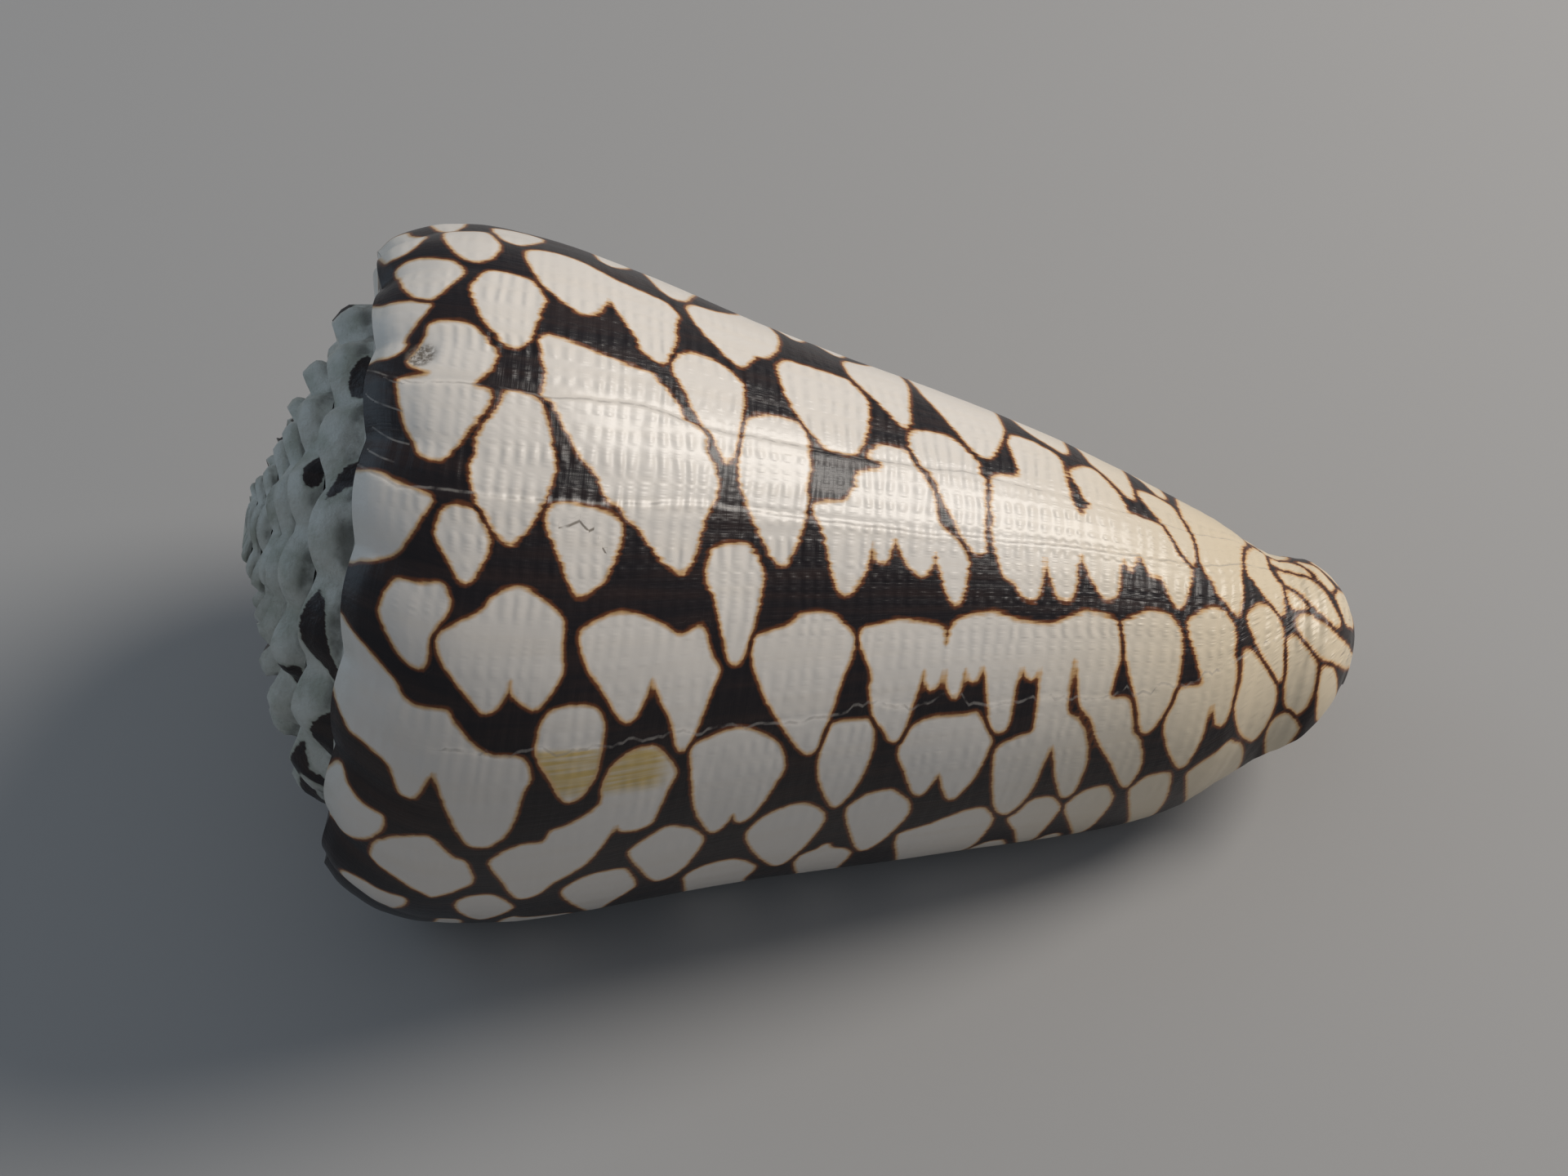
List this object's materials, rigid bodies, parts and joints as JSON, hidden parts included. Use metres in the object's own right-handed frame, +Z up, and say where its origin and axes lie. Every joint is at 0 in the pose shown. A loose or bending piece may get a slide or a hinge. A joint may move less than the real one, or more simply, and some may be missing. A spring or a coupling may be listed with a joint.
{
  "type": "cone shell",
  "caption": "Conical spiral shell with a low knobbed spire, a long slit aperture and a black net of white tent-shaped patches, lying on its aperture side",
  "frame": {"origin": "centre of the bounding box's underside, on the ground the shell lies on", "axes": "+Z up, +X along the shell's length toward the siphonal end, apex toward -X, outer lip on the -Y side"},
  "size_m": [0.084, 0.0504, 0.0461],
  "materials": {
    "patterned_shell": "glossy"
  },
  "bodies": {
    "root": {"cone_shell": "patterned_shell"}
  },
  "joints": []
}
